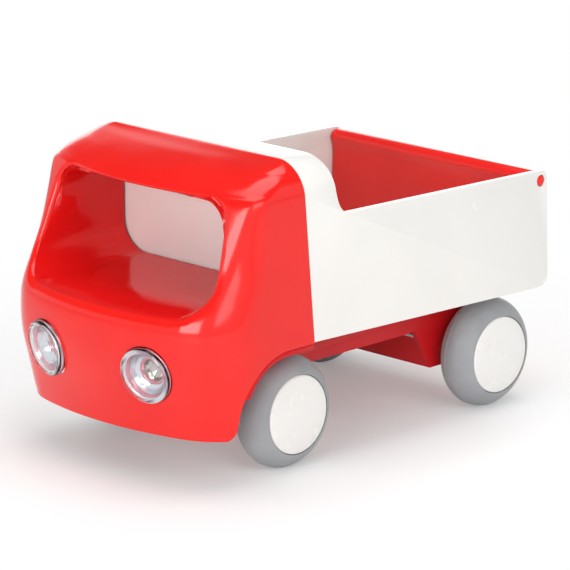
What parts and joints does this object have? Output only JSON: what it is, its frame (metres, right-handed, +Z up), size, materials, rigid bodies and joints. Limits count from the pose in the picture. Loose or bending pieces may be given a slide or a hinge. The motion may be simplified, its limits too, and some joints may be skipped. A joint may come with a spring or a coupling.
{
  "type": "toy dump truck",
  "caption": "Toy dump truck with a hollow hand-tunnel cab, a tipping bed, a top-hung tailgate, round headlamps and soft-tyred wheels on steel axles.",
  "frame": {"origin": "on the ground, at the centre of the truck's length and width", "axes": "+Z up, -Y towards the truck's nose, +X towards the truck's left-hand side as seen by a driver facing forward; in node names right means +X and left means -X"},
  "size_m": [0.1524, 0.2543, 0.156],
  "materials": {
    "red_plastic": "gloss moulded",
    "white_plastic": "satin gloss moulded",
    "grey_tyre": "matt soft moulded",
    "clear_lens": "clear polished moulding",
    "plated_reflector": "vacuum plated",
    "steel": "zinc plated"
  },
  "bodies": {
    "chassis_body": {"cab_shell": "red_plastic", "cab_liner": "red_plastic", "chassis": "red_plastic", "front_axle_cover": "red_plastic", "rear_axle_cover": "red_plastic", "bed_hinge_pin": "steel", "headlamp_lens_left": "clear_lens", "headlamp_lens_right": "clear_lens", "headlamp_reflector_left": "plated_reflector", "headlamp_reflector_right": "plated_reflector", "cab_screw_1": "steel", "cab_screw_2": "steel", "cab_screw_3": "steel", "cab_screw_4": "steel", "front_cover_screw_left": "steel", "front_cover_screw_right": "steel", "rear_cover_screw_left": "steel", "rear_cover_screw_right": "steel"},
    "bed": {"dump_bed": "white_plastic"},
    "gate": {"tailgate": "red_plastic", "tailgate_pin_left": "red_plastic", "tailgate_pin_right": "red_plastic"},
    "front_wheelset": {"front_axle": "steel", "front_left_tyre": "grey_tyre", "front_left_hub": "white_plastic", "front_left_hub_cap": "white_plastic", "front_right_tyre": "grey_tyre", "front_right_hub": "white_plastic", "front_right_hub_cap": "white_plastic"},
    "rear_wheelset": {"rear_axle": "steel", "rear_left_tyre": "grey_tyre", "rear_left_hub": "white_plastic", "rear_left_hub_cap": "white_plastic", "rear_right_tyre": "grey_tyre", "rear_right_hub": "white_plastic", "rear_right_hub_cap": "white_plastic"}
  },
  "joints": [
    {"name": "bed_tip", "type": "hinge", "parent": "chassis_body", "child": "bed", "pos_m": [0, 0.1095, 0.057], "axis": [-1, 0, 0], "range_deg": [0, 45]},
    {"name": "tailgate_swing", "type": "hinge", "parent": "bed", "child": "gate", "pos_m": [0, 0.1219, 0.1175], "axis": [1, 0, 0], "range_deg": [0, 85]},
    {"name": "front_wheels_roll", "type": "hinge", "parent": "chassis_body", "child": "front_wheelset", "pos_m": [0, -0.0502, 0.0285], "axis": [1, 0, 0], "continuous": true},
    {"name": "rear_wheels_roll", "type": "hinge", "parent": "chassis_body", "child": "rear_wheelset", "pos_m": [0, 0.0988, 0.0285], "axis": [1, 0, 0], "continuous": true}
  ]
}
